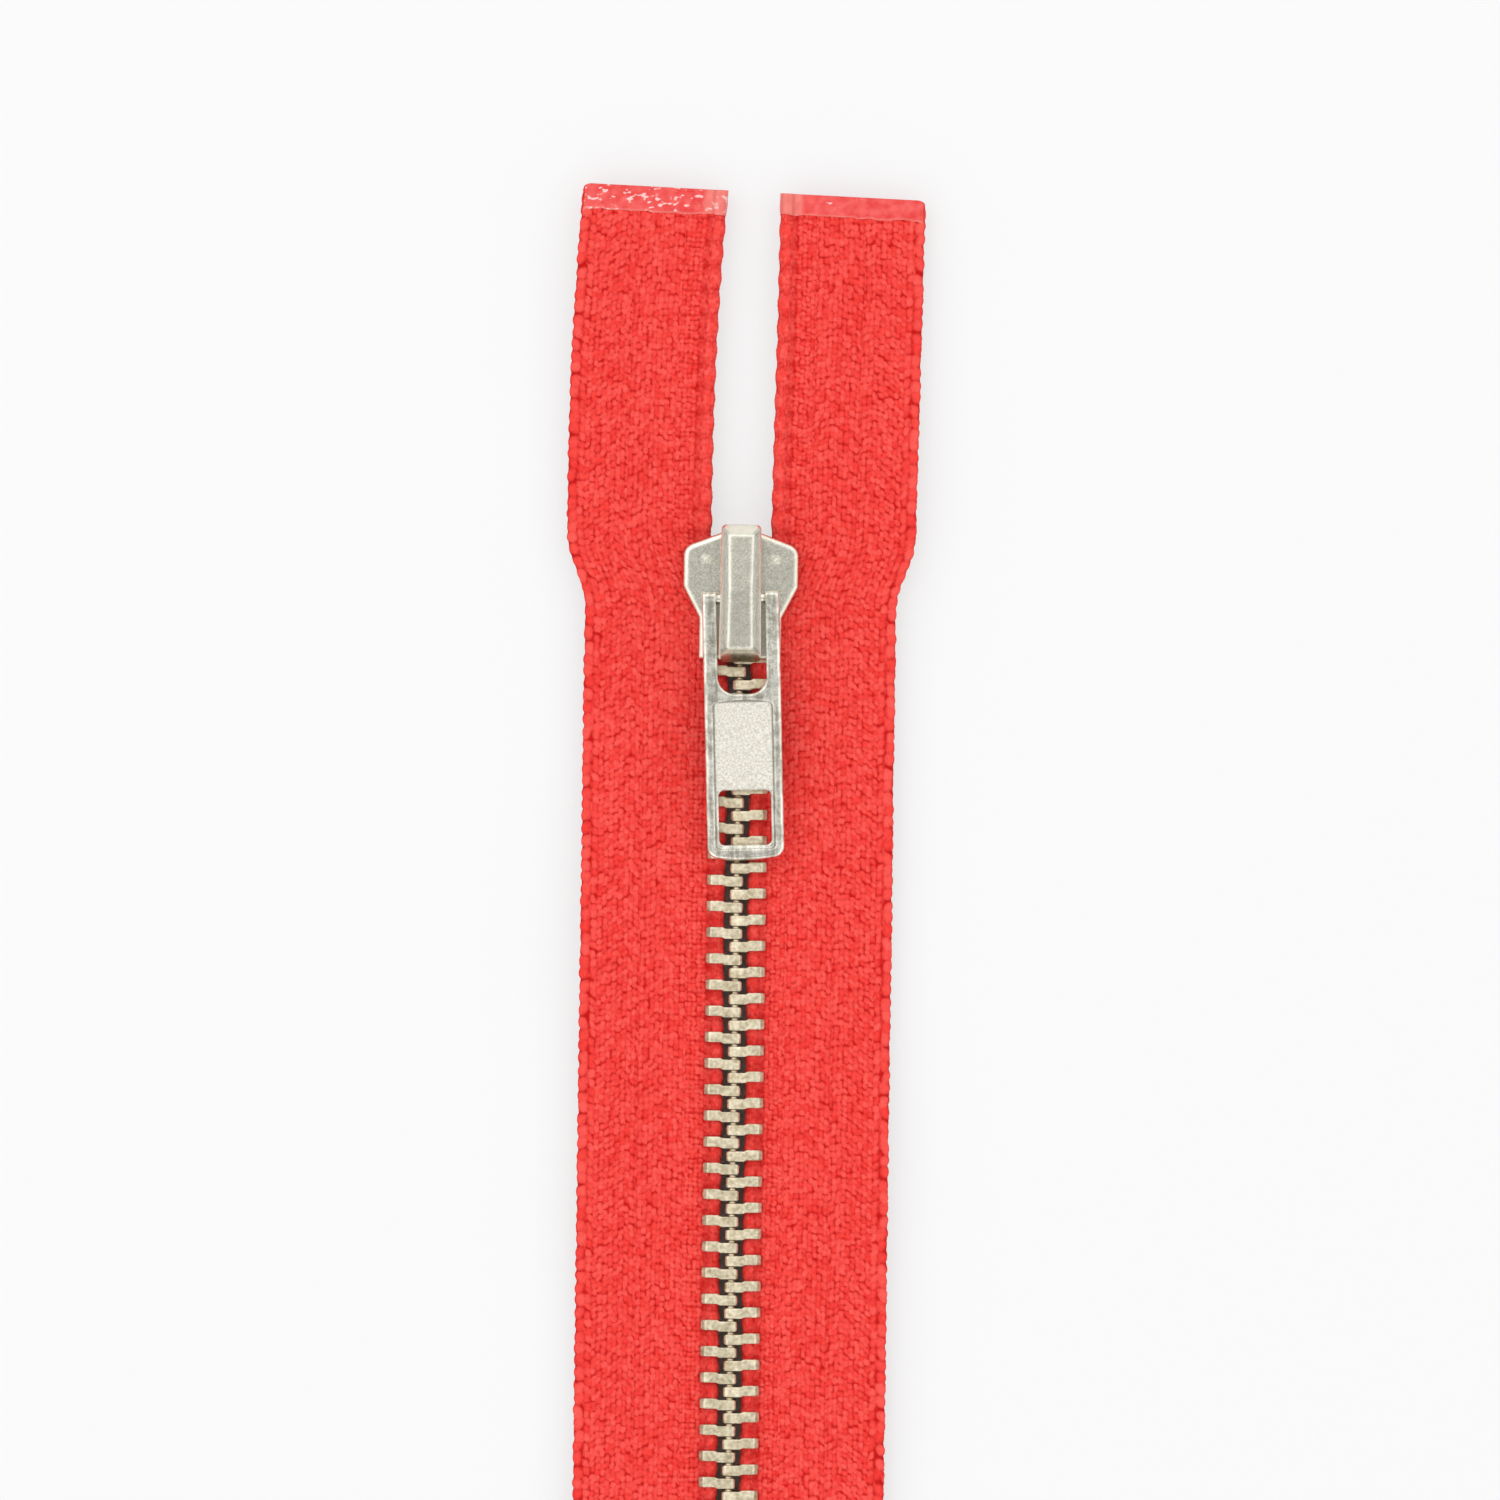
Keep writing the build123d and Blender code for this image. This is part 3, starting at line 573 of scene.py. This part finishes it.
def tab_material():
    """Polished rails with a shimmering swell and painted reflections in dark streaks, round a sunk panel
    that is blasted matte.
    """
    rail_dark_reflection, rail_bright = (0.58, 0.55, 0.46, 1), (1.0, 0.97, 0.86, 1)
    panel_dark, panel_bright = (0.66, 0.63, 0.54, 1), (0.93, 0.90, 0.82, 1)
    painted_shade_colour = (0.16, 0.14, 0.11, 1)
    sunk_level, panel_half, panel_middle, panel_reach = 0.42, 2.93, -14.2, 4.45
    shade_from_x, shade_from_y = 2.74, -10.1
    s = Shader("pull_metal")
    coordinates = s.add("ShaderNodeTexCoord", {}, output=3)
    own_place = s.add(
        "ShaderNodeMapping",
        {0: coordinates, 1: bar_place * MM, 2: tab_axes().to_euler(), 3: (MM, MM, MM)},
        vector_type="TEXTURE",
    )
    x, y, z = s.split(own_place)
    sunk = s.math("LESS_THAN", s.math("ABSOLUTE", z), sunk_level)
    between_rails = s.math("LESS_THAN", s.math("ABSOLUTE", x), panel_half)
    middle = s.math("COMPARE", y, panel_middle, panel_reach)
    panel = s.math("MULTIPLY", s.math("MULTIPLY", sunk, between_rails), middle)
    # A thin line of painted shade where the panel meets its rim.
    corner = s.math("GREATER_THAN", s.math("ABSOLUTE", x), shade_from_x)
    top_corner = s.math("GREATER_THAN", y, shade_from_y)
    painted_shade = s.math("MULTIPLY", sunk, s.math("MAXIMUM", corner, top_corner))
    grit = s.noise(0.20, 3.0)
    clouds = s.noise(0.9, 3.0)
    streaks = s.noise(1.0, 2.0, s.place((2.6, 0.35, 1.0)))
    mottling = s.math("MULTIPLY_ADD", clouds, 0.5, s.math("MULTIPLY", streaks, 0.5))
    # Painted reflections: dark and bright streaks along the polished rails stand for what the metal
    # reflects.
    polish_and_reflections = s.mix(s.ramp(mottling, (0.40, 0.0), (0.56, 1.0)), rail_dark_reflection, rail_bright)
    blasted = s.mix(s.ramp(grit, (0.35, 0.0), (0.65, 1.0)), panel_dark, panel_bright)
    metal = s.mix(s.math("MULTIPLY", painted_shade, 0.55), s.mix(panel, polish_and_reflections, blasted), painted_shade_colour)
    swelling = s.bump(clouds, s.math("SUBTRACT", 1.0, panel), 0.05, s.soft_edges(0.34))
    grain = s.bump(grit, s.math("MULTIPLY_ADD", panel, 0.85, 0.15), 0.04, swelling)
    return s.finish(
        Base_Color=metal,
        Metallic=1.0,
        Roughness=s.math("MULTIPLY_ADD", panel, 0.38, 0.14),
        Normal=grain,
    )


def paint(piece, material):
    """Gives a piece one material in place of its own."""
    piece.data.materials.clear()
    piece.data.materials.append(material)


# ---- Build ----

cloth = cloth_material()
yarn = cord_material()
seals = {-1: film_material("film_blistered", 0.41), 1: film_material("film_clear", 0.26)}
slider_metal = nickel(
    "slider_nickel",
    bright=(1.0, 0.97, 0.84, 1),
    deep=(0.82, 0.79, 0.66, 1),
    roughness=0.17,
    grain=0.15,
    pit=0.004,
    round_edge=0.50,
)
tooth_metal = nickel(
    "tooth_nickel",
    bright=(1.0, 0.90, 0.68, 1),
    deep=(0.52, 0.43, 0.27, 1),
    roughness=0.36,
    grain=0.35,
    pit=0.015,
    round_edge=0.22,
)

for side, word in ((-1, "left"), (1, "right")):
    stringer = f"{word}_stringer"
    bending = (
        (tape(side, f"{word}_woven_tape"), f"{word}_tape", "tape", cloth),
        (cord(side, f"{word}_bead_cord"), f"{word}_cord", "cord", yarn),
        (free_copy(f"{word}_teeth", f"{word}_tooth_row"), f"{word}_teeth", "teeth", tooth_metal),
    )
    for piece, node, slot, material in bending:
        paint(piece, material)
        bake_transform(piece)
        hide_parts(node)
    riding = (
        (top_film(side, f"{word}_top_seal"), f"{word}_top_film", stringer),
        (end_film(side, f"{word}_end_seal"), f"{word}_end_film", "retainer"),
    )
    for piece, node, body in riding:
        paint(piece, seals[side])
        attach(piece, body)
        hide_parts(node)

# The spring, which goes flat under the roof when the pawl lifts, is a copy of its own that rides with the
# slider.
spring = free_copy("pawl_spring", "pawl_leaf_spring")
paint(spring, slider_metal)
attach(spring, "slider")
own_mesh(spring)
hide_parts("pawl_spring")

nodes = frame["nodes"]
for node in ("slider_body", "slider_cover", "retainer_box", "locking_pawl"):
    paint(nodes[node], slider_metal)
for node in ("insertion_pin", "retaining_pin", "left_top_stop", "right_top_stop"):
    paint(nodes[node], tooth_metal)
paint(nodes["pull_tab"], tab_material())

# ---- Floor, light and camera ----


def floor():
    """Painted light: the floor glows, for the camera only, all round the chain, so that the shadows there
    stay faint.
    """
    half, level = 3000, -2.47
    chain_end = slider_y + 9
    glow_from, glow_full, span = 2.5, 4.5, 10  # distances from the middle line
    full_glow, brightness = 0.6, 0.96
    corners = ((-half, -half, level), (half, -half, level), (half, half, level), (-half, half, level))
    plane = new_mesh("floor", corners, np.array([[0, 1, 2, 3]]), smooth=False)
    s = Shader("floor_white")
    x, y, _ = s.split(s.place())
    off_line = s.math("DIVIDE", s.math("ABSOLUTE", x), span)
    beside = s.ramp(off_line, (glow_from / span, 0.0), (glow_full / span, 1.0))
    off_middle = s.math("ABSOLUTE", s.math("SUBTRACT", y, chain_end / 2))
    beyond = s.math("GREATER_THAN", off_middle, chain_end / 2)
    # Only the camera sees the glow, so that it lights nothing from below.
    seen = s.add("ShaderNodeLightPath", {}, output="Is Camera Ray")
    glow = s.math("MULTIPLY", s.math("MULTIPLY", s.math("MAXIMUM", beside, beyond), seen), full_glow)
    paint(plane, s.finish(
        Base_Color=s.mix(glow, (0.90, 0.90, 0.90, 1), (0, 0, 0, 1)),
        Roughness=0.9,
        Specular_IOR_Level=0.0,
        Emission_Color=(1, 1, 1, 1),
        Emission_Strength=s.math("MULTIPLY", glow, brightness),
    ))


def tent():
    """A studio tent: bright walls, a softer roof with a dim hole straight above, dark near the floor, and a
    round dark gap in the roof towards -y."""
    # Pairs of height and brightness: 0 is level with the floor, and 1 is straight up.
    near_floor, walls = ((0.0, 0.10), (0.16, 0.16)), ((0.30, 1.10), (0.88, 1.40))
    roof, hole = ((0.935, 0.85), (0.993, 0.81)), ((0.998, 0.35),)
    # Pairs of closeness to the gap's middle, which is 1, and brightness.
    by_gap = ((0.0, 1.0), (0.985, 1.0), (0.995, 0.12), (1.0, 0.08))
    gap_tilt, strength = math.radians(21), 0.91
    world = bpy.data.worlds.new("tent")
    bpy.context.scene.world = world
    world.use_nodes = True
    nodes, links = world.node_tree.nodes, world.node_tree.links
    direction = nodes.new("ShaderNodeTexCoord").outputs["Generated"]
    split = nodes.new("ShaderNodeSeparateXYZ")
    links.new(direction, split.inputs[0])
    ring = nodes.new("ShaderNodeValToRGB")
    set_stops(ring.color_ramp, near_floor + walls + roof + hole)
    links.new(split.outputs[2], ring.inputs[0])
    towards = nodes.new("ShaderNodeVectorMath")
    towards.operation = "DOT_PRODUCT"
    towards.inputs[1].default_value = (0.05, -math.sin(gap_tilt), math.cos(gap_tilt))
    links.new(direction, towards.inputs[0])
    gap = nodes.new("ShaderNodeValToRGB")
    set_stops(gap.color_ramp, by_gap)
    links.new(towards.outputs["Value"], gap.inputs[0])
    both = nodes.new("ShaderNodeVectorMath")
    both.operation = "MULTIPLY"
    links.new(ring.outputs[0], both.inputs[0])
    links.new(gap.outputs[0], both.inputs[1])
    links.new(both.outputs[0], nodes["Background"].inputs[0])
    nodes["Background"].inputs[1].default_value = strength


def softbox(name, place, size, power):
    """A square lamp that faces the chain's middle."""
    aim = Vector((0, 0.1, 0))
    light = bpy.data.lights.new(name, "AREA")
    light.shape = "SQUARE"
    light.size = size
    light.energy = power
    lamp = bpy.data.objects.new(name, light)
    lamp.location = place
    lamp.rotation_euler = (aim - Vector(place)).to_track_quat("-Z", "Y").to_euler()
    bpy.context.scene.collection.objects.link(lamp)


def camera():
    """Straight above, with a small roll, framed on the chain's upper part."""
    frame_width, distance = 0.1456, 1.5
    middle_x, middle_y, roll = 0.00112, 0.1282, math.radians(0.8)
    lens = bpy.data.cameras.new("camera")
    lens.lens = lens.sensor_width * distance / frame_width
    lens.clip_start, lens.clip_end = 0.01, 20
    eye = bpy.data.objects.new("camera", lens)
    eye.location = (middle_x, middle_y, distance)
    eye.rotation_euler = (0, 0, roll)
    bpy.context.scene.collection.objects.link(eye)
    bpy.context.scene.camera = eye


floor()
tent()
softbox("key", place=(-0.30, 0.45, 1.1), size=0.6, power=1.0)
camera()
bpy.context.scene.view_settings.view_transform = "Standard"
